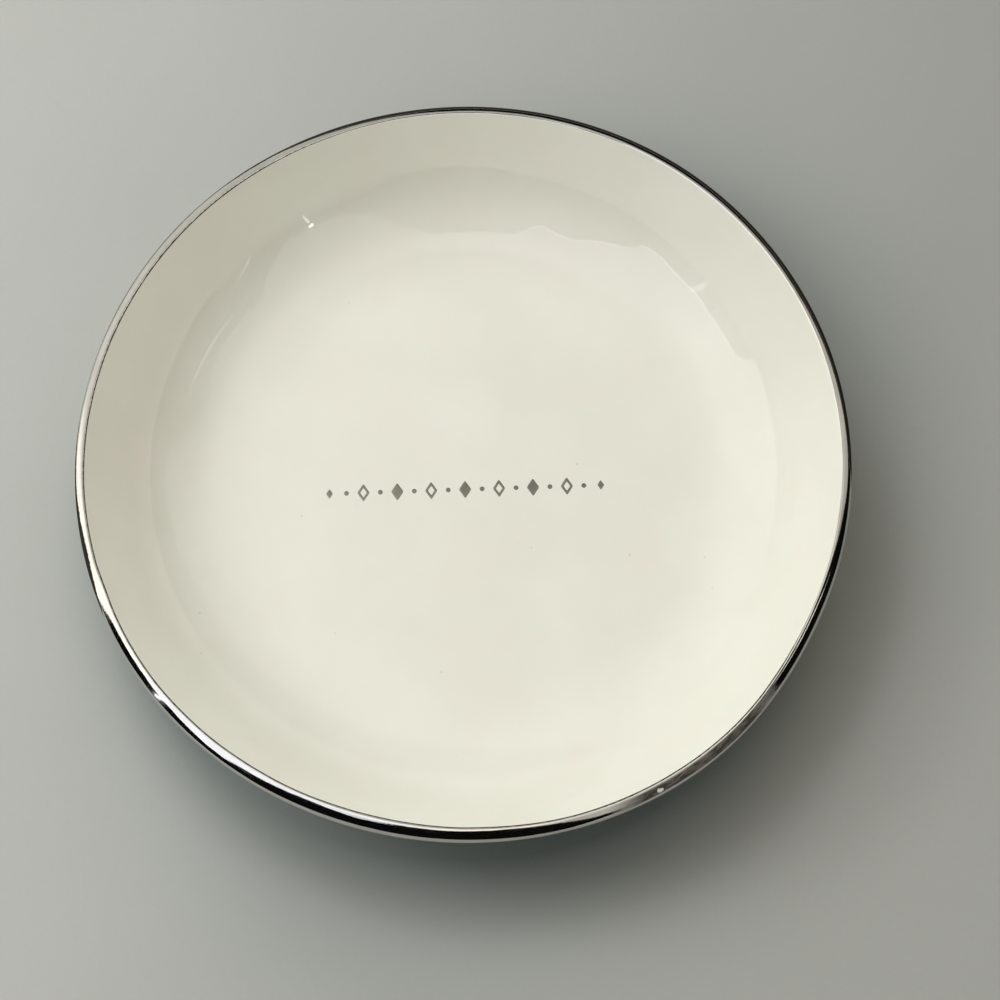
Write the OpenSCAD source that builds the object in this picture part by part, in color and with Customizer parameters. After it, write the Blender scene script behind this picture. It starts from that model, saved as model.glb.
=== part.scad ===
// Ring dish: a shallow round porcelain dish on a low turned foot, glazed all
// over except where it stands, with a fired metal band over its lip and a
// small fired ornament in the middle of its well.
//
// Frame: +Z up, the origin at the centre of the foot's contact face.
// The ornament runs along X. Millimetres.

/* [Dish] */
// Outside diameter, measured over the metal band
rim_d = 102; // [98:1:105]
// Height from the table to the top of the lip, over the metal band
dish_h = 20; // [19.5:0.5:21]
// Diameter of the flat well
well_d = 60.6; // [59:0.2:62]
// Slope of the straight part of the wall, from the table, in degrees
wall_angle = 57; // [54:0.5:60]
// Thickness of wall and floor, glaze included
wall_t = 2.4; // [2.2:0.1:2.8]
// Angle round the lip's section, from its widest point, where its wide outer round ends
lip_turn = 80; // [70:2:90]
// Radius of the lip's inner edge
lip_edge = 0.35; // [0.35:0.05:0.6]

/* [Foot] */
// Outer diameter of the flat ring that the dish stands on
foot_d = 56; // [48:0.2:57]
// Width of that flat ring
foot_w = 1.7; // [1.2:0.1:2.4]
// Depth of the recess inside the foot
foot_h = 2.2; // [1.8:0.1:2.6]
// Chamfer on both edges of the foot, left bare of glaze
foot_c = 0.45; // [0.3:0.05:0.6]
// Draft of the foot's two flanks, in degrees
foot_draft = 8; // [4:1:10]

/* [Glaze] */
// Thickness of the glaze
glaze_t = 0.2; // [0.15:0.05:0.3]

/* [Metal decoration] */
// Thickness of the fired metal film
film_t = 0.08; // [0.06:0.02:0.12]
// Outer edge of the band, as an angle round the lip's section below its widest point
band_out = 24; // [10:1:28]
// Inner edge of the band, as an angle round the lip's section from its widest point
band_in = 136; // [100:1:140]
// Length of the ornament
motif_l = 38; // [32:1:42]
// Height of the ornament's lozenges
motif_h = 2.6; // [1.8:0.1:3.2]
// Number of lozenges in the row
motif_n = 9; // [5:2:11]
// Line width of the open lozenges
motif_line = 0.34; // [0.28:0.02:0.4]

/* [Hidden] */

well_r = well_d / 2;
well_z = foot_h + wall_t;                 // height of the well's surface

// The lip's section, over the glaze: a wide round outside and a tight one
// inside, both tangent to the wall's two faces, which are wall_t apart
lip_c = cos(wall_angle + 90 - lip_turn);
lip_r = (wall_t - lip_edge * (1 - lip_c)) / (1 + lip_c);
round_c = [
    rim_d / 2 - film_t - lip_r,
    dish_h - film_t - lip_edge - (lip_r - lip_edge) * sin(lip_turn)
];
edge_c = round_c + (lip_r - lip_edge) * [cos(lip_turn), sin(lip_turn)];

// Where the wall's inner face runs into the lip
tan_x = edge_c[0] - lip_edge * sin(wall_angle);
tan_z = edge_c[1] + lip_edge * cos(wall_angle);
// Inner radius of the bend that joins the flat well to the straight wall, and its centre
bend_r = (tan_x - well_r - (tan_z - well_z) / tan(wall_angle)) / tan(wall_angle / 2);
bend_z = well_z + bend_r;

foot_ro = min(foot_d / 2, well_r - 1.4);  // the foot stays under the flat well
foot_ri = foot_ro - foot_w;

bend_steps = 12;                          // straight steps along a bend's section
band_steps = 18;                          // the same under the band, on the lip's wide round
edge_steps = 8;                           // and on its inner edge
fn_turn = 180;                            // facets round the dish

function reversed(p) = [for (i = [len(p) - 1 : -1 : 0]) p[i]];
function tail(p) = [for (i = [1 : len(p) - 1]) p[i]];

// Points of an arc round c from angle a to angle b
function arc(c, r, a, b, steps) =
    [for (i = [0 : steps]) c + r * [cos(a + (b - a) * i / steps), sin(a + (b - a) * i / steps)]];

// ---- Lines of the dish's section, all from the foot outwards and over the lip
// ---- to the well. skin is how far a line lies under the glazed surface.

function underside_line(skin) =
    arc([well_r, bend_z], bend_r + wall_t - skin, -90, wall_angle - 90, bend_steps);

// The lip's two rounds under the band, grown by g
function band_line(g) = concat(
    arc(round_c, lip_r + g, -band_out, lip_turn, band_steps),
    tail(arc(edge_c, lip_edge + g, lip_turn, band_in, edge_steps))
);

function lip_line(skin) = concat(
    arc(round_c, lip_r - skin, wall_angle - 90, -band_out, 2),
    tail(band_line(-skin)),
    tail(arc(edge_c, lip_edge - skin, band_in, wall_angle + 90, 2))
);

function inside_line(skin) =
    arc([well_r, bend_z], bend_r + skin, wall_angle - 90, -90, bend_steps);

function shell_line(skin) =
    concat(underside_line(skin), lip_line(skin), inside_line(skin), [[0, well_z - skin]]);

// A foot flank's distance from the foot's edge at height z, without glaze
function flank(z) = foot_c + (z - foot_c) * tan(foot_draft);

// The bare foot's outer and inner flank, each from the chamfer up to the underside
under_z = foot_h + glaze_t;
outer_flank = [[foot_ro + foot_c, foot_c], [foot_ro + flank(under_z), under_z]];
inner_flank = [[foot_ri - foot_c, foot_c], [foot_ri - flank(under_z), under_z]];

// ---- Pieces

// The fired clay body with its integral foot, bare where it stands
module porcelain_body() {
    color([0.90, 0.88, 0.83])
        rotate_extrude($fn = fn_turn)
            polygon(concat(
                [[0, under_z]],
                reversed(inner_flank),
                [[foot_ri, 0], [foot_ro, 0]],
                outer_flank,
                shell_line(glaze_t)
            ));
}

// The glaze over the well, the wall, the lip, the outside and the foot's outer flank
module glaze_coat() {
    color([0.95, 0.95, 0.90])
        rotate_extrude($fn = fn_turn)
            polygon(concat(
                reversed(shell_line(glaze_t)),
                reversed(outer_flank),
                [
                    [foot_ro + foot_c + glaze_t, foot_c],
                    [foot_ro + flank(foot_h) + glaze_t, foot_h]
                ],
                shell_line(0)
            ));
}

// The glaze in the recess under the base, cut off from the rest by the bare foot
module base_glaze() {
    color([0.93, 0.93, 0.88])
        rotate_extrude($fn = fn_turn)
            polygon(concat(
                [
                    [0, foot_h],
                    [foot_ri - flank(foot_h) - glaze_t, foot_h],
                    [foot_ri - foot_c - glaze_t, foot_c]
                ],
                inner_flank,
                [[0, under_z]]
            ));
}

// The metal band: a film over the lip, round its inner edge and some way down outside
module rim_band() {
    color([0.56, 0.55, 0.51])
        rotate_extrude($fn = fn_turn)
            polygon(concat(band_line(film_t), reversed(band_line(0))));
}

module lozenge(w, h) {
    polygon([[w / 2, 0], [0, h / 2], [-w / 2, 0], [0, -h / 2]]);
}

// The ornament: a row of lozenges, solid and open by turns, with a dot between
// each two; the outermost are smaller
module centre_motif() {
    lz_w = motif_h * 0.66;
    small = 0.55;
    pitch = (motif_l - small * lz_w) / (motif_n - 1);
    last = (motif_n - 1) / 2;
    // Scale of an open lozenge's inside, which leaves the line's width all round
    inside = 1 - 2 * motif_line * norm([lz_w, motif_h]) / (lz_w * motif_h);
    color([0.50, 0.49, 0.44])
        translate([0, 0, well_z])
            linear_extrude(height = film_t) {
                for (i = [-last : last]) {
                    k = abs(i) == last ? small : 1;
                    translate([i * pitch, 0])
                        if (abs(i) != last && abs(i) % 2 == 1)
                            difference() {
                                lozenge(lz_w, motif_h);
                                lozenge(inside * lz_w, inside * motif_h);
                            }
                        else
                            lozenge(k * lz_w, k * motif_h);
                }
                for (i = [-last : last - 1])
                    translate([(i + 0.5) * pitch, 0])
                        circle(d = motif_h * 0.26, $fn = 32);
            }
}

porcelain_body();
glaze_coat();
base_glaze();
rim_band();
centre_motif();
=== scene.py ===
import math

import bmesh
import bpy
import numpy as np
from mathutils import Matrix, Vector, noise


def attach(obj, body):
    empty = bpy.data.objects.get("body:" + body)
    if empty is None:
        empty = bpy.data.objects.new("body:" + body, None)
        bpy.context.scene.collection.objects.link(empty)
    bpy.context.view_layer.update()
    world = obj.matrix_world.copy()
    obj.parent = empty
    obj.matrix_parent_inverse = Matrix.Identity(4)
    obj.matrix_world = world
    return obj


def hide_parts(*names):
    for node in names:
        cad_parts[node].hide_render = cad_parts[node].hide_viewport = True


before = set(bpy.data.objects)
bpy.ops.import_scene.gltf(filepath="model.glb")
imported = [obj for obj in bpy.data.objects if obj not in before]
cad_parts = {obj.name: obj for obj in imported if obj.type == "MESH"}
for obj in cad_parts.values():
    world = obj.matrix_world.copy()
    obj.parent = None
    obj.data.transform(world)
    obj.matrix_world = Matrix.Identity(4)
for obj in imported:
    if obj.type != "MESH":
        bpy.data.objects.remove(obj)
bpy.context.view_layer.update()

# ---------------------------------------------------------------- dimensions
# Millimetres, as in the CAD source; everything is turned into metres when a
# mesh is made.

MM = 0.001
RIM_R = 51.0        # outside of the metal band
DISH_H = 20.0
WELL_R = 30.3
WALL_A = 57.0       # slope of the straight part of the wall, degrees
WALL_T = 2.4
LIP_TURN = 80.0     # where the lip's wide outer round gives way to its inner edge
LIP_EDGE = 0.35     # radius of that edge
FOOT_RO = 28.0
FOOT_W = 1.7
FOOT_H = 2.2
FOOT_C = 0.45
GLAZE = 0.2
FILM = 0.08
DRAFT = 8.0


def spoke(deg):
    """Unit vector at an angle round a section: 0 outwards, 90 upwards."""
    return np.array((math.cos(math.radians(deg)), math.sin(math.radians(deg))))


_c = math.cos(math.radians(WALL_A + 90 - LIP_TURN))
LIP_R = (WALL_T - LIP_EDGE * (1 - _c)) / (1 + _c)
ROUND_C = np.array((RIM_R - FILM - LIP_R,
                    DISH_H - FILM - LIP_EDGE - (LIP_R - LIP_EDGE) * math.sin(math.radians(LIP_TURN))))
EDGE_C = ROUND_C + (LIP_R - LIP_EDGE) * spoke(LIP_TURN)
WELL_Z = FOOT_H + WALL_T
_a = math.radians(WALL_A)
_tx, _tz = EDGE_C + LIP_EDGE * spoke(WALL_A + 90)
BEND_R = (_tx - WELL_R - (_tz - WELL_Z) / math.tan(_a)) / math.tan(_a / 2)
BEND_Z = WELL_Z + BEND_R
FOOT_RI = FOOT_RO - FOOT_W

TURN = 288          # steps round the dish


# ------------------------------------------------------------------- camera
# It stands over the near side (-Y), 19.5 degrees off straight above.

def make_camera():
    cam = bpy.data.cameras.new("photo_camera")
    cam.sensor_fit = "HORIZONTAL"
    cam.sensor_width = 36.0
    cam.lens = 90.0
    cam.clip_start = 0.01
    cam.clip_end = 50.0
    ob = bpy.data.objects.new("photo_camera", cam)
    bpy.context.scene.collection.objects.link(ob)
    right = Vector((0.99945, -0.03069, -0.01266))
    down = Vector((-0.03311, -0.94826, -0.31576))
    ahead = right.cross(down)
    down = ahead.cross(right)
    right, down, ahead = right.normalized(), down.normalized(), ahead.normalized()
    m = Matrix((right, -down, -ahead)).transposed().to_4x4()
    m.translation = Vector((5.4993, -109.3628, 327.8983)) * MM
    ob.matrix_world = m
    bpy.context.scene.camera = ob
    return ob


make_camera()


# ------------------------------------------------------------ fired-ware form
# Clay warps a little in the kiln: the rim is pushed out on one side and
# wanders by under a tenth of a millimetre elsewhere.

def smooth(t):
    t = min(1.0, max(0.0, t))
    return t * t * (3 - 2 * t)


def gap(a, b):
    return (a - b + 180.0) % 360.0 - 180.0


def push_out(az):
    off = gap(az, 303.0)
    bulge = 0.86 * math.exp(-0.5 * (off / (20.0 if off < 0 else 16.5)) ** 2)
    wander = 0.055 * math.cos(math.radians(5 * (az - 54))) + 0.04 * math.cos(math.radians(3 * az + 40))
    for at, width, amount in ((0.0, 9.0, 0.04), (15.0, 7.0, -0.04), (53.0, 10.0, -0.05), (105.0, 18.0, 0.15),
                              (195.0, 9.0, 0.11), (306.0, 10.0, -0.08), (330.0, 9.0, 0.09), (345.0, 8.0, 0.03)):
        wander -= amount * math.exp(-0.5 * (gap(az, at) / width) ** 2)
    return bulge + wander


def lift(az):
    return 0.10 * math.cos(math.radians(2 * (az - 25))) + 0.04 * math.cos(math.radians(3 * (az - 100)))


def warped(r, z, az):
    """A point of the section (mm) carried to its place on the fired dish (m)."""
    w = smooth((r - 26.0) / 25.0)
    rr = r + w * push_out(az)
    zz = z + w * w * lift(az)
    a = math.radians(az)
    return Vector((rr * math.cos(a), rr * math.sin(a), zz)) * MM


# ---------------------------------------------------------------- the section

def arc(cx, cz, r, a, b, n):
    return [(cx + r * math.cos(math.radians(a + (b - a) * i / n)),
             cz + r * math.sin(math.radians(a + (b - a) * i / n))) for i in range(n + 1)]


def dense(points, step=0.04):
    p = np.array(points, float)
    s = np.concatenate([[0], np.cumsum(np.hypot(*np.diff(p, axis=0).T))])
    keep = np.concatenate([[True], np.diff(s) > 1e-9])
    p, s = p[keep], s[keep]
    n = int(s[-1] / step) + 1
    t = np.linspace(0, s[-1], n)
    return np.c_[np.interp(t, s, p[:, 0]), np.interp(t, s, p[:, 1])], t


def softened(points, sigma_at, ends=(False, False)):
    """The line with its corners eased, as glaze eases them. sigma_at gives the
    width of the easing (mm) at a point."""
    p, t = dense(points)
    step = t[1] - t[0]
    out = p.copy()
    n = len(p)
    for i in range(n):
        sg = sigma_at(p[i, 0], p[i, 1])
        # ease less towards a free end, so that it stays where it is
        if not ends[0]:
            sg = min(sg, (t[i] - t[0]) / 3)
        if not ends[1]:
            sg = min(sg, (t[-1] - t[i]) / 3)
        if sg < step:
            continue
        k = int(3 * sg / step)
        idx = np.arange(i - k, i + k + 1)
        w = np.exp(-0.5 * ((idx - i) * step / sg) ** 2)
        idx = np.clip(idx, 0, n - 1)
        out[i] = (p[idx] * w[:, None]).sum(0) / w.sum()
    return out


def thinned(p, fine=0.10, coarse=2.4, turn=0.10):
    """Fewer points, close together only where the line bends."""
    keep = [0]
    t = np.diff(p, axis=0)
    ang = np.unwrap(np.arctan2(t[:, 1], t[:, 0]))
    last_a, dist = ang[0], 0.0
    for i in range(1, len(p) - 1):
        dist += math.hypot(*(p[i] - p[i - 1]))
        bend = abs(ang[i] - last_a)
        if dist >= coarse or (bend >= turn and dist >= fine):
            keep.append(i)
            last_a, dist = ang[i], 0.0
    keep.append(len(p) - 1)
    return p[keep]


def inward(p, d):
    """The line moved by d to its right-hand side."""
    t = np.gradient(p, axis=0)
    t /= np.hypot(t[:, 0], t[:, 1])[:, None]
    return p + d * np.c_[t[:, 1], -t[:, 0]]


def flank(z):
    return FOOT_C + (z - FOOT_C) * math.tan(math.radians(DRAFT))


PSI_IN, PSI_OUT = WALL_A + 90.0, WALL_A - 90.0   # where the lip meets the wall's two faces
FADE = 8.0                                       # and how far down them its variation reaches


def outer_section():
    """The glazed surface from the middle of the well, over the lip and down the
    outside to where the glaze stops on the foot. Each point comes with its angle
    round the lip and how much it follows the lip (1 on it, 0 far down the wall)."""
    inner = [(0, WELL_Z), (WELL_R, WELL_Z)]
    inner += arc(WELL_R, BEND_Z, BEND_R, -90, WALL_A - 90, 60)
    inner.append(tuple(EDGE_C + LIP_EDGE * spoke(PSI_IN)))
    outer = [tuple(ROUND_C + LIP_R * spoke(PSI_OUT))]
    outer += arc(WELL_R, BEND_Z, BEND_R + WALL_T, WALL_A - 90, -90, 60)
    outer += [(FOOT_RO + flank(FOOT_H) + GLAZE, FOOT_H), (FOOT_RO + FOOT_C + GLAZE, 0.62)]

    def sigma(r, z):
        if r < 29.5 and z < 3.4:
            return 0.42
        return 1.6 - 1.1 * smooth((r - 38.0) / 5.0)

    points, tags = [], []
    for line, psi in ((inner, PSI_IN), (outer, PSI_OUT)):
        q = thinned(softened(line, sigma))
        top = q[-1] if psi == PSI_IN else q[0]
        # one more point close to the lip, so that the join stays true
        extra = top + (q[-2] - top if psi == PSI_IN else q[1] - top) * np.array([[0.12], [0.45]])
        q = np.concatenate([q[:-1], extra[::-1], q[-1:]] if psi == PSI_IN else [q[:1], extra, q[1:]])
        for v in q:
            points.append(v)
            tags.append((psi, 1.0 - smooth(math.hypot(*(v - top)) / FADE)))
        if psi == PSI_IN:
            for k in list(np.arange(PSI_IN - 5.0, LIP_TURN, -5.0)) + list(np.linspace(LIP_TURN, PSI_OUT + 3.5, 32)):
                c, r = (EDGE_C, LIP_EDGE) if k > LIP_TURN else (ROUND_C, LIP_R)
                points.append(c + r * spoke(k))
                tags.append((k, 1.0))
    return np.array(points), tags


def around(stops, az):
    """Value at an azimuth, eased from stop to stop."""
    for (a, u), (b, v) in zip(stops, stops[1:]):
        if a <= az <= b:
            return u + (v - u) * smooth((az - a) / (b - a))
    return stops[-1][1]


# The rim was sponged by hand before firing, so it is rounder in some places and
# more bevelled in others. By azimuth: radii (mm) of its outer side below and above
# LIP_MID, the angle where that side ends, and the radius of the inner edge
SPONGED = [(0, 0.50, 1.75, 79, 0.44), (24, 0.45, 1.90, 76, 0.33), (45, 0.45, 1.88, 78, 0.38), (90, 0.45, 1.80, 78, 0.39),
           (115, 0.55, 1.72, 80, 0.36), (140, 0.62, 1.65, 80, 0.36), (160, 0.70, 1.45, 80, 0.36), (182, 0.70, 1.54, 79, 0.34),
           (195, 0.60, 1.75, 78, 0.35), (205, 0.58, 3.60, 64, 0.29), (215, 0.76, 3.80, 62, 0.27), (226, 0.76, 3.75, 64, 0.27),
           (240, 0.94, 3.05, 70, 0.28), (255, 1.12, 2.50, 75, 0.36), (270, 0.97, 2.38, 75, 0.35), (285, 0.76, 2.66, 70, 0.28),
           (300, 1.10, 2.60, 68, 0.26), (315, 0.86, 3.10, 64, 0.26), (330, 1.04, 2.70, 67, 0.26), (345, 0.80, 2.08, 74, 0.37),
           (360, 0.50, 1.75, 79, 0.44)]
LIP_MID = 45.0
EYE = np.array((5.4993, -109.3628, 327.8983))


def outline_angle(az):
    """Angle round the lip's section of the rim's outline, seen from above the near side."""
    a = math.radians(az)
    v = EYE - np.array((RIM_R * math.cos(a), RIM_R * math.sin(a), 18.3))
    return math.degrees(math.atan2(-(v[0] * math.cos(a) + v[1] * math.sin(a)), v[2]))


_lips = {}


def lip_rounds(az):
    """Centre, radius and last angle of the lip's three rounds at this azimuth.
    Where it is rounder, the lip keeps its height and its outline."""
    key = round(az % 360.0, 4)
    if key not in _lips:
        r1, r2, turn, r3 = (around([(s[0], s[i]) for s in SPONGED], key) for i in (1, 2, 3, 4))
        b = outline_angle(key)
        k = (r1 - r2) * spoke(LIP_MID) + (r2 - r3) * spoke(turn)
        z = EDGE_C[1] + LIP_EDGE - r3 - k[1]
        n = spoke(b)
        x = (float(ROUND_C @ n) + LIP_R - r1 - z * n[1]) / n[0]
        c1 = np.array((x, z))
        c2 = c1 + (r1 - r2) * spoke(LIP_MID)
        _lips[key] = ((c1, r1, LIP_MID), (c2, r2, turn), (c1 + k, r3, 999.0))
    return _lips[key]


def lip_point(az, psi, grow=0.0):
    for c, r, last in lip_rounds(az):
        if psi <= last + 1e-9:
            return c + (r + grow) * spoke(psi)


def lip_shift(az, psi):
    """How far the lip at this azimuth is off the even one."""
    c, r = (ROUND_C, LIP_R) if psi <= LIP_TURN + 1e-9 else (EDGE_C, LIP_EDGE)
    return lip_point(az, psi) - (c + r * spoke(psi))


# --------------------------------------------------------------------- meshes

def turned(name, section, closed=False, at=None, turn=TURN):
    """A solid of revolution of a section that starts and ends on the axis, or
    of a closed one. at(r, z, az, i) gives a point in metres."""
    at = at or (lambda r, z, az, i: warped(r, z, az))
    section = [tuple(map(float, q)) for q in section]
    bm = bmesh.new()
    rings = []
    for i, (r, z) in enumerate(section):
        if r < 1e-6:
            rings.append([bm.verts.new(at(0.0, z, 0.0, i))])
        else:
            rings.append([bm.verts.new(at(r, z, 360.0 * k / turn, i)) for k in range(turn)])
    pairs = list(zip(rings, rings[1:]))
    if closed:
        pairs.append((rings[-1], rings[0]))
    for a, b in pairs:
        for k in range(turn):
            j = (k + 1) % turn
            if len(a) == 1 and len(b) == 1:
                continue
            if len(a) == 1:
                bm.faces.new((a[0], b[k], b[j]))
            elif len(b) == 1:
                bm.faces.new((a[k], b[0], a[j]))
            else:
                bm.faces.new((a[k], b[k], b[j], a[j]))
    bmesh.ops.recalc_face_normals(bm, faces=bm.faces)
    me = bpy.data.meshes.new(name)
    bm.to_mesh(me)
    bm.free()
    for f in me.polygons:
        f.use_smooth = True
    ob = bpy.data.objects.new(name, me)
    bpy.context.scene.collection.objects.link(ob)
    return ob


def ripple(v, size, seed):
    """Smooth noise of about -1 to 1 over features of that size (mm)."""
    return noise.noise(Vector((v.x, v.y, v.z)) / (size * MM) + Vector((seed, seed * 1.7, seed * 0.3)))


OUT, TAGS = outer_section()


def sunk(d):
    """The glazed surface's line, d further in."""
    q = inward(OUT, d)
    for i, (psi, follow) in enumerate(TAGS):
        if follow == 1.0:
            q[i] = OUT[i] - d * spoke(psi)
    q[0, 0] = 0.0
    return q


IN = sunk(GLAZE * 0.97)
OUT[0, 0] = 0.0


def followed(tags):
    """Places a section's points, those of the lip and near it with its variation."""
    def at(r, z, az, i):
        psi, follow = tags[i]
        if follow > 0:
            d = lip_shift(az, psi) * follow
            r, z = r + d[0], z + d[1]
        return warped(r, z, az)
    return at


def glaze_at(tags):
    base = followed(tags)

    def at(r, z, az, i):
        v = base(r, z, az, i)
        if i < len(OUT):
            # the fired surface is never quite true: long, very low waves
            n = 0.014 * ripple(v, 15.0, 3.0) + 0.005 * ripple(v, 6.0, 9.0)
            fade = smooth((z - 0.7) / 1.0)
            # and the coat's lower edge wanders a little round the foot
            if z < 1.1 and r < 28.2:
                edge = 0.13 * noise.noise(Vector((3.1 * math.cos(math.radians(az)) * 2.2,
                                                  3.1 * math.sin(math.radians(az)) * 2.2, 4.0)))
                v.z += edge * smooth((1.1 - z) / 0.5) * MM
            v.z += n * fade * MM
        elif z < 1.1 and r < 28.2:
            edge = 0.13 * noise.noise(Vector((3.1 * math.cos(math.radians(az)) * 2.2,
                                              3.1 * math.sin(math.radians(az)) * 2.2, 4.0)))
            v.z += edge * smooth((1.1 - z) / 0.5) * MM
        return v
    return at


def bead(a, b, n=5):
    """Half-round end from the coat's outer line to its inner one."""
    a, b = np.array(a), np.array(b)
    c, r = (a + b) / 2, np.hypot(*(b - a)) / 2
    d = (a - b) / np.hypot(*(a - b))
    down = np.array((d[1], -d[0]))
    if down[1] > 0:
        down = -down
    return [tuple(c + r * (math.cos(math.pi * k / n) * d + math.sin(math.pi * k / n) * down)) for k in range(1, n)]


NO_TAG = (0.0, 0.0)
end = bead(OUT[-1], IN[-1])
coat_section = [tuple(q) for q in OUT] + end + [tuple(q) for q in IN[::-1]]
glaze = turned("glazed_surface", coat_section, at=glaze_at(TAGS + [NO_TAG] * len(end) + TAGS[::-1]))

# The bare body under it: the coat's inner line a hair deeper, and the foot
BODY = sunk(GLAZE * 1.03)


def rounded_foot():
    # the foot's section from its outer flank to its inner one, with worn corners
    z0 = 0.9
    p = [(FOOT_RO + flank(z0), z0), (FOOT_RO + FOOT_C, FOOT_C), (FOOT_RO, 0.0),
         (FOOT_RI, 0.0), (FOOT_RI - FOOT_C, FOOT_C), (FOOT_RI - flank(z0), z0)]
    q = softened(p, lambda r, z: 0.09)
    q[:, 1] = np.maximum(q[:, 1], 0.0)
    return thinned(q, fine=0.05, coarse=0.5, turn=0.12)


foot_line = rounded_foot()
body_out = [(tuple(q), t) for q, t in zip(BODY, TAGS) if not (q[0] < 29 and q[1] < 1.0)]
under = FOOT_H + GLAZE * 1.03
body_section = [q for q, t in body_out] + [tuple(q) for q in foot_line]
body_section += [(FOOT_RI - flank(1.5), 1.5), (FOOT_RI - flank(under) - 0.02, under - 0.12),
                 (FOOT_RI - flank(under) - 0.25, under), (12.0, under), (0.0, under)]
body_tags = [t for q, t in body_out] + [NO_TAG] * (len(body_section) - len(body_out))
body = turned("bisque_body", body_section, at=followed(body_tags))

# The glaze in the recess, with its own rolled edge
base_line = softened([(0, FOOT_H), (FOOT_RI - flank(FOOT_H) - GLAZE, FOOT_H), (FOOT_RI - FOOT_C - GLAZE, 0.62)],
                     lambda r, z: 0.40)
BASE = thinned(base_line, fine=0.08, coarse=3.0)
BASE_IN = inward(BASE, -GLAZE * 0.97)
BASE[0, 0] = BASE_IN[0, 0] = 0.0


def base_at(r, z, az, i):
    v = warped(r, z, az)
    if i < len(BASE):
        v.z += (0.016 * ripple(v, 11.0, 21.0)) * smooth((z - 1.2) / 0.6) * MM
    if z < 1.1:
        v.z += 0.10 * noise.noise(Vector((6.2 * math.cos(math.radians(az)), 6.2 * math.sin(math.radians(az)), 14.0))) * smooth((1.1 - z) / 0.5) * MM
    return v


base_section = [tuple(q) for q in BASE] + bead(BASE[-1], BASE_IN[-1]) + [tuple(q) for q in BASE_IN[::-1]]
base = turned("base_glaze_skin", base_section, at=base_at)

# ------------------------------------------------------------------ metal band
BAND_OUT, BAND_IN = -24.0, 134.0
BAND_N = 44
FILM_T = 0.03

# How far up the outline the film's outer edge lies round the dish (1 at it, 0 at
# BAND_OUT); up to which angle a dark border runs from the film's outer edge there, the
# film's own dark run-out, widened on much of the rim into painted dark reflection; the
# width (mm) of the dark border at its inner edge; and that edge's angle
EDGE_UP = [(0, 1.0), (184, 1.0), (204, 0.0), (348, 0.0), (357, 1.0), (360, 1.0)]
FILM_EDGE_AND_PAINTED_DARK_OUT = [(0, 60), (24, 62), (90, 64), (102, 68), (112, 66), (121, 58), (132, 49), (152, 46), (168, 32), (180, 46), (194, 62),
              (202, 46), (207, -60), (346, -60), (357, 56), (360, 60)]
BORDER_IN = [(0, 0.0), (100, 0.0), (128, 0.15), (318, 0.16), (332, 0.0), (360, 0.0)]
INNER = [(0, 114), (92, 114), (118, BAND_IN), (318, BAND_IN), (336, 114), (360, 114)]


def band_edges(az):
    """Where the painted film starts and stops round the lip at this azimuth, in
    degrees round its section. A hand-held brush laid it on a turning dish."""
    a = math.radians(az)
    c, s = math.cos(a), math.sin(a)
    slow = noise.noise(Vector((1.6 * c, 1.6 * s, 0.7)))
    quick = noise.noise(Vector((16 * c, 16 * s, 5.1)))
    fine = noise.noise(Vector((55 * c, 55 * s, 8.3)))
    inner = around(INNER, az) + 4.0 * slow + 3.0 * quick + 2.0 * fine
    up = around(EDGE_UP, az)
    outer = BAND_OUT + 3.0 * noise.noise(Vector((2.0 * c, 2.0 * s, 11.7))) + 1.2 * quick
    outer += up * (outline_angle(az) + 2.0 - outer)
    return outer, inner


def make_band():
    bm = bmesh.new()
    from_out = bm.verts.layers.float.new("from_out")
    from_in = bm.verts.layers.float.new("from_in")
    film_edge_and_painted_dark_depth = bm.verts.layers.float.new("film_edge_and_painted_dark_depth")
    angle = bm.verts.layers.float.new("angle")
    turn = 720
    loops = []
    for k in range(turn):
        az = 360.0 * k / turn
        lo, hi = band_edges(az)
        split = int(BAND_N * 0.68)
        psis = [lo + (LIP_TURN - lo) * i / split for i in range(split)]
        psis += [LIP_TURN + (hi - LIP_TURN) * i / (BAND_N - split) for i in range(BAND_N - split + 1)]
        line = np.array([lip_point(az, p) for p in psis])
        s = np.concatenate([[0], np.cumsum(np.hypot(*np.diff(line, axis=0).T))])
        w_in = around(BORDER_IN, az) or -0.1
        w_out = float(np.interp(around(FILM_EDGE_AND_PAINTED_DARK_OUT, az), psis, s, left=-0.1))
        outer, inner = [], []
        for psi, d in zip(psis, s):
            e = min(d, s[-1] - d)
            # the film thins to nothing at both edges
            t = FILM_T * smooth(e / 0.12)
            for grow, store in ((0.012 + t, outer), (-0.02, inner)):
                r, z = lip_point(az, psi, grow)
                v = bm.verts.new(warped(r, z, az))
                v[from_out] = d
                v[from_in] = s[-1] - d
                # how far inside the dark border the point lies: the film's dark run-out, and where the border is wide,
                # painted dark reflection
                v[film_edge_and_painted_dark_depth] = min(d - w_out, s[-1] - d - w_in)
                v[angle] = psi
                store.append(v)
        loops.append((outer, inner))
    for k in range(turn):
        (o0, i0), (o1, i1) = loops[k], loops[(k + 1) % turn]
        for i in range(BAND_N):
            bm.faces.new((o0[i], o1[i], o1[i + 1], o0[i + 1]))
            bm.faces.new((i0[i + 1], i1[i + 1], i1[i], i0[i]))
        bm.faces.new((o0[0], i0[0], i1[0], o1[0]))
        bm.faces.new((i0[-1], o0[-1], o1[-1], i1[-1]))
    bmesh.ops.recalc_face_normals(bm, faces=bm.faces)
    me = bpy.data.meshes.new("platinum_band")
    bm.to_mesh(me)
    bm.free()
    for f in me.polygons:
        f.use_smooth = True
    ob = bpy.data.objects.new("platinum_band", me)
    bpy.context.scene.collection.objects.link(ob)
    return ob


band = make_band()

# -------------------------------------------------------------------- ornament
MOTIF_L, MOTIF_H, MOTIF_N, MOTIF_LINE = 38.0, 2.6, 9, 0.34


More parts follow.
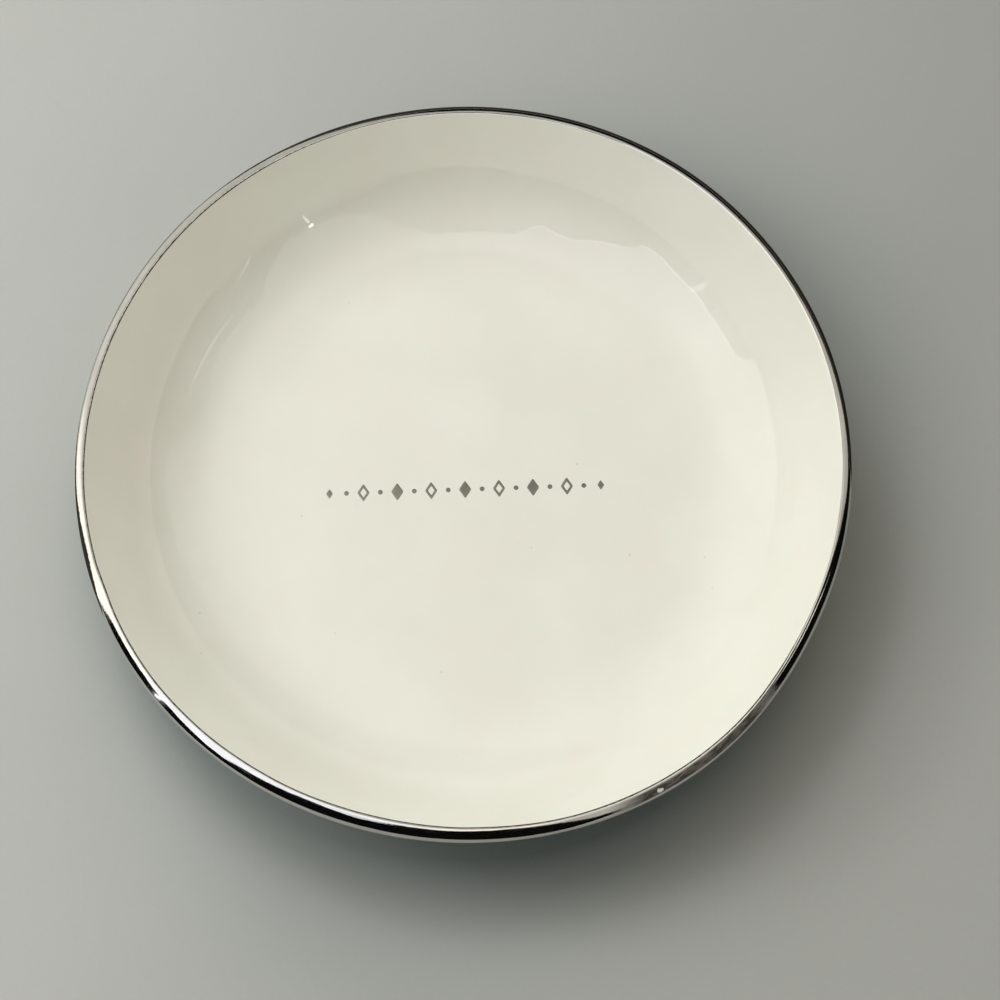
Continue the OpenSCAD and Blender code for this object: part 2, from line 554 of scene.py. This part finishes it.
def film_prism(bm, rim, holes=(), t=0.03):
    """A thin film on the well with the outline rim (mm), slightly domed, open
    where holes has one inner outline with as many points."""
    z0 = WELL_Z

    def place(x, y, dz):
        v = warped(math.hypot(x, y), z0, math.degrees(math.atan2(y, x)))
        n = 0.014 * ripple(v, 15.0, 3.0) + 0.005 * ripple(v, 6.0, 9.0)
        v.z += (n + dz) * MM
        return v

    n = len(rim)
    cx = sum(p[0] for p in rim) / n
    cy = sum(p[1] for p in rim) / n
    if holes:
        inner = holes[0]
        mids = [((a[0] + b[0]) / 2, (a[1] + b[1]) / 2) for a, b in zip(rim, inner)]
        rows = [(rim, 0.004), ([(a[0] * .8 + m[0] * .2, a[1] * .8 + m[1] * .2) for a, m in zip(rim, mids)], t),
                (mids, t * 1.15),
                ([(a[0] * .8 + m[0] * .2, a[1] * .8 + m[1] * .2) for a, m in zip(inner, mids)], t), (inner, 0.004)]
        top = [[bm.verts.new(place(x, y, dz)) for x, y in row] for row, dz in rows]
        bot = [[bm.verts.new(place(x, y, -0.03)) for x, y in row] for row in (rim, inner)]
        for a, b in zip(top, top[1:]):
            for i in range(n):
                j = (i + 1) % n
                bm.faces.new((a[i], a[j], b[j], b[i]))
        for i in range(n):
            j = (i + 1) % n
            bm.faces.new((bot[0][i], bot[0][j], top[0][j], top[0][i]))
            bm.faces.new((top[-1][i], top[-1][j], bot[1][j], bot[1][i]))
            bm.faces.new((bot[1][i], bot[1][j], bot[0][j], bot[0][i]))
    else:
        def scaled(k):
            return [(cx + (x - cx) * k, cy + (y - cy) * k) for x, y in rim]
        rows = [(rim, 0.004), (scaled(0.90), t), (scaled(0.5), t * 1.15)]
        top = [[bm.verts.new(place(x, y, dz)) for x, y in row] for row, dz in rows]
        bot = [bm.verts.new(place(x, y, -0.03)) for x, y in rim]
        for a, b in zip(top, top[1:]):
            for i in range(n):
                j = (i + 1) % n
                bm.faces.new((a[i], a[j], b[j], b[i]))
        c = bm.verts.new(place(cx, cy, t * 1.2))
        cb = bm.verts.new(place(cx, cy, -0.03))
        for i in range(n):
            j = (i + 1) % n
            bm.faces.new((top[-1][i], top[-1][j], c))
            bm.faces.new((bot[j], bot[i], cb))
            bm.faces.new((bot[i], bot[j], top[0][j], top[0][i]))


def lozenge(cx, w, h, per_side=6, soft=0.06):
    """The outline of a lozenge whose points are eased a little."""
    corners = [(w / 2, 0), (0, h / 2), (-w / 2, 0), (0, -h / 2)]
    out = []
    for k in range(4):
        a, b = corners[k], corners[(k + 1) % 4]
        for i in range(per_side):
            t = i / per_side
            x, y = a[0] + (b[0] - a[0]) * t, a[1] + (b[1] - a[1]) * t
            if i == 0:
                x *= 1 - soft
                y *= 1 - soft
            out.append((cx + x, y))
    return out


def ring(cx, r, n=24):
    return [(cx + r * math.cos(2 * math.pi * i / n), r * math.sin(2 * math.pi * i / n)) for i in range(n)]


def make_motif():
    bm = bmesh.new()
    w, h, small = MOTIF_H * 0.66, MOTIF_H, 0.55
    pitch = (MOTIF_L - small * w) / (MOTIF_N - 1)
    last = (MOTIF_N - 1) // 2
    inside = 1 - 2 * MOTIF_LINE * math.hypot(w, h) / (w * h)
    for i in range(-last, last + 1):
        x = i * pitch
        if abs(i) != last and abs(i) % 2 == 1:
            film_prism(bm, lozenge(x, w, h), [lozenge(x, w * inside, h * inside)])
        else:
            k = small if abs(i) == last else 1.0
            film_prism(bm, lozenge(x, w * k, h * k))
    for i in range(-last, last):
        film_prism(bm, ring((i + 0.5) * pitch, MOTIF_H * 0.13))
    bmesh.ops.recalc_face_normals(bm, faces=bm.faces)
    me = bpy.data.meshes.new("platinum_motif")
    bm.to_mesh(me)
    bm.free()
    for f in me.polygons:
        f.use_smooth = True
    ob = bpy.data.objects.new("platinum_motif", me)
    bpy.context.scene.collection.objects.link(ob)
    return ob


motif = make_motif()


# ------------------------------------------------------------------- materials

class Nodes:
    """Short names for building a node tree."""

    def __init__(self, name):
        self.mat = bpy.data.materials.new(name)
        self.mat.use_nodes = True
        self.t = self.mat.node_tree
        self.bsdf = next(n for n in self.t.nodes if n.type == "BSDF_PRINCIPLED")
        self.out = next(n for n in self.t.nodes if n.type == "OUTPUT_MATERIAL")
        self.coords = self.t.nodes.new("ShaderNodeTexCoord")

    def new(self, kind, **sets):
        n = self.t.nodes.new(kind)
        for k, v in sets.items():
            setattr(n, k, v)
        return n

    def link(self, a, b):
        self.t.links.new(a, b)

    def set(self, **values):
        for k, v in values.items():
            self.bsdf.inputs[k.replace("_", " ")].default_value = v

    def mapped(self, scale=(1, 1, 1), loc=(0, 0, 0), source=None):
        m = self.new("ShaderNodeMapping")
        m.inputs["Scale"].default_value = scale
        m.inputs["Location"].default_value = loc
        self.link(source or self.coords.outputs["Object"], m.inputs["Vector"])
        return m.outputs["Vector"]

    def noise(self, size_mm, detail=2.0, rough=0.5, seed=0.0, scale=(1, 1, 1), source=None):
        """Noise whose features are about size_mm across."""
        n = self.new("ShaderNodeTexNoise")
        n.inputs["Scale"].default_value = 1000.0 / size_mm
        n.inputs["Detail"].default_value = detail
        n.inputs["Roughness"].default_value = rough
        self.link(self.mapped(scale, (seed * 0.013, seed * 0.007, seed * 0.019), source), n.inputs["Vector"])
        return n.outputs["Fac"]

    def ramp(self, fac, stops):
        r = self.new("ShaderNodeValToRGB")
        e = r.color_ramp.elements
        while len(e) > 1:
            e.remove(e[-1])
        e[0].position, e[0].color = stops[0][0], stops[0][1]
        for pos, col in stops[1:]:
            x = e.new(pos)
            x.color = col
        self.link(fac, r.inputs["Fac"])
        return r.outputs["Color"]

    def span(self, value, lo, hi, to_lo=0.0, to_hi=1.0, clamp=True, smooth=False):
        m = self.new("ShaderNodeMapRange", clamp=clamp)
        if smooth:
            m.interpolation_type = "SMOOTHSTEP"
        m.inputs["From Min"].default_value = lo
        m.inputs["From Max"].default_value = hi
        m.inputs["To Min"].default_value = to_lo
        m.inputs["To Max"].default_value = to_hi
        self.link(value, m.inputs["Value"])
        return m.outputs["Result"]

    def math(self, op, a, b=None):
        m = self.new("ShaderNodeMath", operation=op)
        for i, x in enumerate((a, b)):
            if x is None:
                continue
            if isinstance(x, (int, float)):
                m.inputs[i].default_value = x
            else:
                self.link(x, m.inputs[i])
        return m.outputs[0]

    def mix(self, fac, a, b):
        m = self.new("ShaderNodeMix", data_type="RGBA")
        for sock, x in ((m.inputs[0], fac), (m.inputs[6], a), (m.inputs[7], b)):
            if isinstance(x, (int, float)):
                sock.default_value = x
            elif isinstance(x, tuple):
                sock.default_value = x
            else:
                self.link(x, sock)
        return m.outputs[2]

    def bump(self, height, strength, distance, after=None):
        b = self.new("ShaderNodeBump")
        b.inputs["Strength"].default_value = strength
        b.inputs["Distance"].default_value = distance
        self.link(height, b.inputs["Height"])
        if after is not None:
            self.link(after, b.inputs["Normal"])
        return b.outputs["Normal"]


def glaze_material(name, tint=(1.0, 1.0, 1.0), rough=(0.008, 0.022)):
    n = Nodes(name)
    light = (0.846 * tint[0], 0.846 * tint[1], 0.742 * tint[2], 1)
    dark = (0.816 * tint[0], 0.814 * tint[1], 0.706 * tint[2], 1)
    # the body's colour seen through the glaze, clouded over a centimetre or so
    cloud = n.noise(14.0, 3.0, 0.55, 1.0)
    colour = n.mix(n.span(cloud, 0.35, 0.65), dark, light)
    # with a breath of pink in places
    pink = n.span(n.noise(11.0, 3.0, 0.6, 8.0), 0.48, 0.66)
    colour = n.mix(n.math("MULTIPLY", pink, 0.5), colour, (0.850 * tint[0], 0.806 * tint[1], 0.716 * tint[2], 1))
    # fine speck in the clay, under the glaze
    speck = n.new("ShaderNodeTexVoronoi")
    speck.inputs["Scale"].default_value = 1000.0 / 2.6
    n.link(n.mapped((1, 1, 1), (0.2, 0.1, 0.3)), speck.inputs["Vector"])
    dots = n.span(speck.outputs["Distance"], 0.035, 0.075, 1.0, 0.0)
    rare = n.span(n.noise(5.2, 1.0, 0.5, 7.0), 0.62, 0.68)
    colour = n.mix(n.math("MULTIPLY", n.math("MULTIPLY", dots, rare), 0.35), colour, (0.40, 0.36, 0.29, 1))
    n.link(colour, n.bsdf.inputs["Base Color"])
    # gloss: clear, a shade duller where hands and rings have rubbed it
    rub = n.noise(9.0, 4.0, 0.6, 4.0)
    n.link(n.span(rub, 0.3, 0.7, rough[0], rough[1]), n.bsdf.inputs["Roughness"])
    # the glaze's own surface: long, low orange-peel, then pinholes
    peel = n.noise(3.4, 2.0, 0.5, 2.0)
    nrm = n.bump(peel, 0.10, 0.00012)
    pits = n.math("MULTIPLY", n.span(speck.outputs["Distance"], 0.0, 0.06, 0.0, 1.0), 1.0)
    nrm = n.bump(n.math("MAXIMUM", pits, n.math("SUBTRACT", 1.0, rare)), 0.25, 0.00002, nrm)
    n.link(nrm, n.bsdf.inputs["Normal"])
    n.set(IOR=1.52)
    return n.mat


def bisque_material():
    n = Nodes("bisque_clay")
    cloud = n.noise(4.0, 5.0, 0.6, 3.0)
    grain = n.noise(0.28, 3.0, 0.7, 5.0)
    colour = n.mix(n.span(cloud, 0.3, 0.7), (0.66, 0.62, 0.54, 1), (0.76, 0.73, 0.66, 1))
    colour = n.mix(n.math("MULTIPLY", n.span(grain, 0.60, 0.72), 0.45), colour, (0.42, 0.38, 0.31, 1))
    # the ring that touches the table has picked up grey
    geo = n.new("ShaderNodeSeparateXYZ")
    n.link(n.coords.outputs["Object"], geo.inputs[0])
    touch = n.span(geo.outputs["Z"], 0.0, 0.00018, 1.0, 0.0)
    smear = n.span(n.noise(2.2, 4.0, 0.65, 9.0), 0.42, 0.62)
    colour = n.mix(n.math("MULTIPLY", n.math("MULTIPLY", touch, smear), 0.55), colour, (0.36, 0.35, 0.33, 1))
    n.link(colour, n.bsdf.inputs["Base Color"])
    n.link(n.span(grain, 0.3, 0.7, 0.72, 0.92), n.bsdf.inputs["Roughness"])
    n.link(n.bump(grain, 0.5, 0.00006), n.bsdf.inputs["Normal"])
    return n.mat


def ring_coords(n):
    """Coordinates that run round the rim (x), and across it (y and z), so that
    brush lines follow the rim."""
    sep = n.new("ShaderNodeSeparateXYZ")
    n.link(n.coords.outputs["Object"], sep.inputs[0])
    az = n.math("ARCTAN2", sep.outputs["Y"], sep.outputs["X"])
    r2 = n.math("ADD", n.math("MULTIPLY", sep.outputs["X"], sep.outputs["X"]),
                n.math("MULTIPLY", sep.outputs["Y"], sep.outputs["Y"]))
    r = n.math("SQRT", r2)
    comb = n.new("ShaderNodeCombineXYZ")
    n.link(n.math("MULTIPLY", az, 0.05), comb.inputs[0])
    n.link(r, comb.inputs[1])
    n.link(sep.outputs["Z"], comb.inputs[2])
    return comb.outputs[0], az


def band_material():
    n = Nodes("fired_platinum_band")
    ring_uv, az = ring_coords(n)

    def attr(name):
        return n.new("ShaderNodeAttribute", attribute_name=name).outputs["Fac"]

    def window(value, a, b, soft):
        return n.math("MULTIPLY", n.span(value, a - soft, a + soft, 0.0, 1.0), n.span(value, b - soft, b + soft, 1.0, 0.0))

    turn = n.math("MULTIPLY", n.math("FRACT", n.math("ADD", n.math("DIVIDE", az, 2 * math.pi), 1.0)), 360.0)
    # the film's tone: brushed on, so faintly streaked along the rim
    streak = n.noise(0.22, 3.0, 0.6, 2.0, scale=(0.06, 1, 1), source=ring_uv)
    cloud = n.noise(3.0, 3.0, 0.55, 6.0)
    metal = n.mix(n.span(cloud, 0.3, 0.7), (0.62, 0.60, 0.55, 1), (0.70, 0.68, 0.64, 1))
    metal = n.mix(n.math("MULTIPLY", n.span(streak, 0.52, 0.72), 0.20), metal, (0.42, 0.39, 0.34, 1))
    # olive-black border where the film runs out, dull and dark; where it reaches far up the outer side of the lip it is
    # painted dark reflection, standing in for the dark surroundings the metal would mirror
    ragged = n.span(n.noise(0.5, 3.0, 0.7, 12.0), 0.3, 0.7, -0.05, 0.05)
    film_edge_and_painted_dark = n.span(n.math("ADD", attr("film_edge_and_painted_dark_depth"), ragged), -0.03, 0.05, 1.0, 0.0)
    metal = n.mix(film_edge_and_painted_dark, metal, (0.020, 0.018, 0.012, 1))
    # rubbed spots, where the white glaze comes through
    worn = n.span(n.noise(0.55, 4.0, 0.65, 15.0), 0.755, 0.770)
    # one stretch of the rim is worn dull: mottled olive and violet, and one chip in it
    fine = n.noise(0.35, 4.0, 0.65, 31.0, scale=(0.16, 1, 1), source=ring_uv)
    patch = n.math("MULTIPLY", window(turn, 292.0, 318.0, 3.0), window(attr("angle"), 34.0, 66.0, 4.0))
    patch = n.math("MULTIPLY", patch, n.span(n.math("ADD", fine, n.math("MULTIPLY", patch, 0.45)), 0.50, 0.62))
    stain = n.mix(n.span(n.noise(0.9, 3.0, 0.6, 33.0), 0.42, 0.60), (0.100, 0.095, 0.066, 1), (0.150, 0.112, 0.098, 1))
    stain = n.mix(n.span(n.noise(0.20, 3.0, 0.6, 35.0, scale=(0.12, 1, 1), source=ring_uv), 0.46, 0.56), (0.006, 0.006, 0.004, 1), stain)
    dx = n.math("DIVIDE", n.math("SUBTRACT", turn, 297.4), 0.50)
    dy = n.math("DIVIDE", n.math("SUBTRACT", attr("angle"), 49.0), 7.5)
    blot = n.math("ADD", n.math("MULTIPLY", dx, dx), n.math("MULTIPLY", dy, dy))
    blot = n.math("ADD", blot, n.span(n.noise(0.45, 3.0, 0.6, 41.0), 0.3, 0.7, -0.6, 0.6))
    chip = n.span(blot, 0.85, 1.05, 1.0, 0.0)
    colour = n.mix(n.math("MULTIPLY", patch, 0.9), metal, stain)
    bare = n.math("MAXIMUM", worn, chip)
    colour = n.mix(bare, colour, (0.92, 0.91, 0.86, 1))
    n.link(colour, n.bsdf.inputs["Base Color"])
    dull = n.math("MAXIMUM", n.math("MAXIMUM", bare, film_edge_and_painted_dark), n.math("MULTIPLY", patch, 0.95))
    n.link(n.span(dull, 0.0, 1.0, 1.0, 0.0), n.bsdf.inputs["Metallic"])
    n.link(n.span(n.math("MAXIMUM", film_edge_and_painted_dark, patch), 0.0, 1.0, 0.5, 0.05), n.bsdf.inputs["Specular IOR Level"])
    rough = n.math("ADD", n.span(cloud, 0.3, 0.7, 0.05, 0.08), n.math("MULTIPLY", film_edge_and_painted_dark, 0.16))
    rough = n.math("ADD", rough, n.math("MULTIPLY", patch, 0.22))
    n.link(n.math("ADD", rough, n.math("MULTIPLY", n.span(streak, 0.45, 0.75), 0.05)), n.bsdf.inputs["Roughness"])
    nrm = n.bump(streak, 0.10, 0.00002)
    n.link(n.bump(n.noise(0.9, 2.0, 0.5, 20.0), 0.10, 0.00003, nrm), n.bsdf.inputs["Normal"])
    return n.mat


def motif_material():
    n = Nodes("fired_platinum_print")
    cloud = n.noise(2.2, 4.0, 0.6, 3.0)
    grain = n.noise(0.16, 2.0, 0.6, 5.0)
    metal = n.mix(n.span(cloud, 0.3, 0.7), (0.21, 0.205, 0.172, 1), (0.27, 0.262, 0.225, 1))
    # laid on thicker at one end of the row than at the other
    sep = n.new("ShaderNodeSeparateXYZ")
    n.link(n.coords.outputs["Object"], sep.inputs[0])
    metal = n.mix(n.span(sep.outputs["X"], -0.018, 0.010, 0.45, 0.0), metal, (0.44, 0.43, 0.38, 1))
    metal = n.mix(n.math("MULTIPLY", n.span(grain, 0.58, 0.72), 0.3), metal, (0.52, 0.51, 0.46, 1))
    n.link(metal, n.bsdf.inputs["Base Color"])
    n.set(Metallic=0.85)
    n.link(n.span(cloud, 0.3, 0.7, 0.26, 0.38), n.bsdf.inputs["Roughness"])
    n.link(n.bump(grain, 0.25, 0.00003), n.bsdf.inputs["Normal"])
    return n.mat


glaze.data.materials.append(glaze_material("clear_glaze"))
base.data.materials.append(glaze_material("clear_glaze_base", (0.985, 0.985, 0.98), (0.07, 0.14)))
body.data.materials.append(bisque_material())
band.data.materials.append(band_material())
motif.data.materials.append(motif_material())

# The CAD nodes stay as they are and are only hidden; each gets its finish too
for node, piece in (("porcelain_body", body), ("glaze_coat", glaze), ("base_glaze", base),
                    ("rim_band", band), ("centre_motif", motif)):
    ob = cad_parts[node]
    ob.data.materials.clear()
    ob.data.materials.append(piece.data.materials[0])
    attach(piece, "root")
    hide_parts(node)


# ------------------------------------------------------------------- the stage

def make_floor():
    n = Nodes("pale_table")
    cloud = n.noise(60.0, 4.0, 0.55, 1.0)
    grain = n.noise(0.8, 3.0, 0.6, 2.0)
    colour = n.mix(n.span(cloud, 0.3, 0.7), (0.419, 0.427, 0.397, 1), (0.444, 0.450, 0.421, 1))
    colour = n.mix(n.math("MULTIPLY", n.span(grain, 0.5, 0.7), 0.10), colour, (0.36, 0.36, 0.345, 1))
    # painted light and shadow: the table's colour falls off across it, lighter towards -X and -Y as lamplight would,
    # and a painted shadow darkens it in a halo where the dish stands
    sep = n.new("ShaderNodeSeparateXYZ")
    n.link(n.coords.outputs["Object"], sep.inputs[0])
    x, y = sep.outputs["X"], sep.outputs["Y"]
    r = n.math("SQRT", n.math("ADD", n.math("MULTIPLY", x, x), n.math("MULTIPLY", y, y)))
    c1, s1 = n.math("DIVIDE", x, n.math("MAXIMUM", r, 0.001)), n.math("DIVIDE", y, n.math("MAXIMUM", r, 0.001))

    def product(p, q):
        return n.math("MULTIPLY", p, q)

    c2, s2 = n.math("SUBTRACT", product(c1, c1), product(s1, s1)), product(product(c1, s1), 2.0)
    c3 = n.math("SUBTRACT", product(c1, c2), product(s1, s2))
    s3 = n.math("ADD", product(s1, c2), product(c1, s2))
    # painted light falloff across the table
    far = n.math("SUBTRACT", 0.051, n.math("ADD", n.span(x, -0.1, 0.1, -0.1166, 0.1166), n.span(y, -0.1, 0.1, -0.0514, 0.0514)))
    # painted shadow round the dish, darkest by its rim, with red taken down most
    near = 0.0
    for reach, amount in ((0.004, (-0.262, -0.060, 0.143, 0.136, -0.068, 0.242, 0.104)),
                          (0.018, (-0.142, -0.047, -0.008, 0.061, -0.086, -0.039, -0.085))):
        fall = n.math("EXPONENT", n.math("DIVIDE", n.math("SUBTRACT", 0.051, n.math("MAXIMUM", r, 0.050)), reach))
        total = amount[0]
        for wave, k in zip((c1, s1, c2, s2, c3, s3), amount[1:]):
            total = n.math("ADD", product(wave, k), total)
        near = n.math("ADD", product(fall, total), near)
    painted_light_tone = n.new("ShaderNodeCombineXYZ")
    for i, k in enumerate((1.18, 1.0, 0.96)):
        n.link(n.math("EXPONENT", n.math("ADD", product(near, k), far)), painted_light_tone.inputs[i])
    shade = n.new("ShaderNodeMix", data_type="RGBA", blend_type="MULTIPLY")
    shade.inputs[0].default_value = 1.0
    n.link(colour, shade.inputs[6])
    n.link(painted_light_tone.outputs[0], shade.inputs[7])
    n.link(shade.outputs[2], n.bsdf.inputs["Base Color"])
    n.set(Roughness=0.55)
    n.bsdf.inputs["Specular IOR Level"].default_value = 0.35
    n.link(n.bump(grain, 0.15, 0.0001), n.bsdf.inputs["Normal"])
    bm = bmesh.new()
    bmesh.ops.create_grid(bm, x_segments=8, y_segments=8, size=3.0)
    me = bpy.data.meshes.new("table_top")
    bm.to_mesh(me)
    bm.free()
    me.materials.append(n.mat)
    ob = bpy.data.objects.new("table_top", me)
    bpy.context.scene.collection.objects.link(ob)
    return ob


make_floor()


def lamp(name, centre, target, size, radiance, colour=(1, 1, 1)):
    """A soft panel, size in metres, that lights by its diffuse light alone; what
    the gloss mirrors is the studio round it, set in sky()."""
    li = bpy.data.lights.new(name, "AREA")
    li.shape = "RECTANGLE"
    li.size, li.size_y = size
    li.energy = radiance * math.pi * size[0] * size[1]
    li.color = colour
    ob = bpy.data.objects.new(name, li)
    bpy.context.scene.collection.objects.link(ob)
    ob.location = centre
    ob.rotation_euler = (Vector(target) - Vector(centre)).to_track_quat("-Z", "Y").to_euler()
    ob.visible_camera = False
    ob.visible_glossy = False
    return ob


def upright(name, az0, az1, el0, el1, dist, radiance, colour=(1, 1, 1)):
    """An upright panel, dist metres away, between two azimuths and elevations."""
    a = math.radians((az0 + az1) / 2)
    z0, z1 = (dist * math.tan(math.radians(e)) for e in (el0, el1))
    at = Vector((dist * math.cos(a), dist * math.sin(a), (z0 + z1) / 2))
    return lamp(name, at, (0, 0, at.z), (2 * dist * math.tan(math.radians((az1 - az0) / 2)), z1 - z0), radiance, colour)


# The studio that the glaze and the metal mirror, by azimuth in degrees: how high
# its dark lower part reaches, and how bright the ceiling is, low and high up.
DARK_TOP = [(0, 49), (9, 47), (13, 24), (20, 23), (30, 26), (42, 31), (58, 34), (70, 37), (80, 38), (92, 36), (104, 24),
            (109, -8), (183, -8), (184.5, 22), (190, 24), (211, 22), (219, 20), (221, 33), (229, 45), (234, 52), (243, 49),
            (247, 52), (248.5, 61), (276, 63), (286, 50), (292, 30), (298, 21), (312, 19), (320, 28), (332, 47),
            (347, 43), (360, 46)]
GLOW_TOP = [(0, -20), (226, -20), (232, 3.5), (282, 4), (292, 9), (334, 9), (341, -20), (360, -20)]
LOW_SKY = [(0, 0.38), (30, 0.62), (60, 0.42), (90, 0.48), (112, 0.62), (128, 0.80), (148, 0.95), (156, 1.5), (182, 1.7),
           (205, 1.5), (228, 1.45), (245, 0.7), (275, 0.5), (300, 0.62), (325, 0.75), (345, 0.66), (360, 0.48)]
HIGH_SKY = [(0, 1.35), (25, 1.2), (55, 0.7), (90, 0.55), (130, 0.55), (160, 0.8), (190, 1.1), (225, 1.4), (275, 1.5),
            (300, 1.15), (325, 1.2), (345, 1.35), (360, 1.35)]


# Small lamps far off that the glaze mirrors as glints and faint streaks: azimuth,
# elevation, the two rows that turn degrees off them into their own outline, power
LAMPS = [(306.2, 10.3, (-0.098, 0.220), (1.92, 0.071), 5.0),
         (305.9, 17.5, (-1.13, -0.004), (-0.217, 0.502), 14.0),
         (348.8, 34.5, (-0.091, 0.018), (0.092, 0.664), 1.5),
         (325.5, 12.5, (-0.257, -0.015), (-0.830, 0.678), 1.8),
         (202.7, 15.0, (-0.053, -0.082), (-1.24, 0.020), 2.0)]


def sky(fill, mirror=1.0, backdrop=(0.62, 0.62, 0.60)):
    """The world. fill: how strong the diffuse light is that comes from +X and
    from -Y; mirror: strength of what gloss sees."""
    world = bpy.data.worlds.new("studio")
    bpy.context.scene.world = world
    world.use_nodes = True
    world.cycles.sampling_method = "NONE"
    t = world.node_tree
    t.nodes.clear()

    def new(kind, **sets):
        n = t.nodes.new(kind)
        for k, v in sets.items():
            setattr(n, k, v)
        return n

    def put(socket, x):
        if isinstance(x, (int, float)):
            socket.default_value = x
        else:
            t.links.new(x, socket)

    def calc(op, a, b=None, clamp=False):
        m = new("ShaderNodeMath", operation=op, use_clamp=clamp)
        put(m.inputs[0], a)
        if b is not None:
            put(m.inputs[1], b)
        return m.outputs[0]

    def by_azimuth(stops, top):
        r = new("ShaderNodeValToRGB")
        e = r.color_ramp.elements
        while len(e) > 1:
            e.remove(e[-1])
        for i, (a, v) in enumerate(stops):
            x = e[0] if i == 0 else e.new(a / 360.0)
            x.position = a / 360.0
            x.color = (v / top, v / top, v / top, 1)
        t.links.new(turn, r.inputs["Fac"])
        return calc("MULTIPLY", r.outputs["Color"], top)

    def step(value, edge, width):
        return calc("ADD", calc("DIVIDE", calc("SUBTRACT", value, edge), width), 0.5, clamp=True)

    def blend(fac, a, b):
        return calc("ADD", calc("MULTIPLY", a, calc("SUBTRACT", 1.0, fac)), calc("MULTIPLY", b, fac))

    coord = new("ShaderNodeTexCoord")
    sep = new("ShaderNodeSeparateXYZ")
    t.links.new(coord.outputs["Generated"], sep.inputs[0])
    x, y, z = sep.outputs
    el = calc("MULTIPLY", calc("ARCSINE", z), 180 / math.pi)
    turn = calc("FRACT", calc("ADD", calc("DIVIDE", calc("ARCTAN2", y, x), 2 * math.pi), 1.0))

    # the dark part's upper edge is uneven, with a thin bright line along a stretch of it
    uneven = new("ShaderNodeTexNoise", noise_dimensions="1D")
    uneven.inputs["Scale"].default_value = 60.0
    uneven.inputs["Detail"].default_value = 2.0
    t.links.new(turn, uneven.inputs["W"])
    dark_top = calc("SUBTRACT", by_azimuth([(a, v + 20) for a, v in DARK_TOP], 90.0), 22.0)
    dark_top = calc("ADD", dark_top, calc("MULTIPLY", uneven.outputs["Fac"], 4.0))
    above = step(el, dark_top, 0.8)
    bright = calc("SUBTRACT", above, step(el, calc("ADD", dark_top, 1.6), 1.2))
    bright = calc("MULTIPLY", bright, calc("MULTIPLY", step(turn, 0.509, 0.004), calc("SUBTRACT", 1.0, step(turn, 0.69, 0.01))))
    high = step(el, 58.0, 14.0)
    zenith = step(el, 78.0, 7.0)
    ceiling = blend(zenith, blend(high, by_azimuth(LOW_SKY, 2.0), by_azimuth(HIGH_SKY, 2.0)), 0.62)
    # a pale strip low down on one side
    glow = step(calc("SUBTRACT", by_azimuth([(a, v + 20) for a, v in GLOW_TOP], 90.0), 20.0), el, 1.6)
    seen = blend(above, calc("ADD", calc("MULTIPLY", glow, 0.60), 0.004), ceiling)
    seen = calc("ADD", seen, calc("MULTIPLY", bright, 1.1))
    # small far lamps
    for az0, el0, (a, b), (c, d), power in LAMPS:
        da = calc("SUBTRACT", calc("FRACT", calc("ADD", turn, 0.5 - az0 / 360.0)), 0.5)
        da, de = calc("MULTIPLY", da, 360.0), calc("SUBTRACT", el, el0)
        u = calc("ADD", calc("MULTIPLY", da, a), calc("MULTIPLY", de, b))
        v = calc("ADD", calc("MULTIPLY", da, c), calc("MULTIPLY", de, d))
        far = calc("ADD", calc("MULTIPLY", u, u), calc("MULTIPLY", v, v))
        seen = calc("ADD", seen, calc("MULTIPLY", calc("SUBTRACT", 1.0, step(far, 0.8, 0.8)), power))
    seen = calc("MULTIPLY", seen, mirror)

    from_x = calc("MULTIPLY", calc("MAXIMUM", x, 0.0), fill[0])
    from_y = calc("MULTIPLY", calc("MAXIMUM", calc("MULTIPLY", y, -1.0), 0.0), fill[1])

    def background(colour, strength):
        b = new("ShaderNodeBackground")
        b.inputs["Color"].default_value = (*colour, 1)
        put(b.inputs["Strength"], strength)
        return b.outputs[0]

    def mixed(fac, a, b):
        m = new("ShaderNodeMixShader")
        put(m.inputs["Fac"], fac)
        t.links.new(a, m.inputs[1])
        t.links.new(b, m.inputs[2])
        return m.outputs[0]

    path = new("ShaderNodeLightPath")
    both = new("ShaderNodeAddShader")
    t.links.new(background((1.09, 0.985, 0.90), from_x), both.inputs[0])
    t.links.new(background((1.0, 0.985, 0.94), from_y), both.inputs[1])
    # what gloss sees is a little cooler on one side
    side = calc("MULTIPLY", step(turn, 0.535, 0.05), calc("SUBTRACT", 1.0, step(turn, 0.70, 0.05)))
    gloss = mixed(side, background((1.01, 0.99, 0.92), seen), background((0.965, 0.99, 1.08), seen))
    lit = mixed(path.outputs["Is Glossy Ray"], both.outputs[0], gloss)
    out = new("ShaderNodeOutputWorld")
    t.links.new(mixed(path.outputs["Is Camera Ray"], lit, background(backdrop, 1.0)), out.inputs["Surface"])


# ------------------------------------------------------------------ the lights

upright("soft_panel_far_left", 104, 130, 2, 52, 0.42, 2.5)
lamp("soft_box_left", (-0.28, 0.12, 0.45), (0, 0, 0), (0.30, 0.30), 3.95)
lamp("soft_box_near_left", (-0.22, -0.15, 0.45), (0, 0, 0), (0.30, 0.30), 0.70)
lamp("soft_box_high", (-0.15, 0.25, 0.60), (0, 0, 0), (0.20, 0.20), 4.9)
lamp("soft_box_top", (0.0, 0.15, 0.60), (0, 0, 0), (0.20, 0.20), 2.35)
lamp("soft_box_low_left", (-0.40, 0.05, 0.30), (0, 0, 0), (0.20, 0.20), 3.0)
sky((0.55, 0.25))

bpy.context.scene.view_settings.view_transform = "Standard"
bpy.context.scene.view_settings.look = "None"
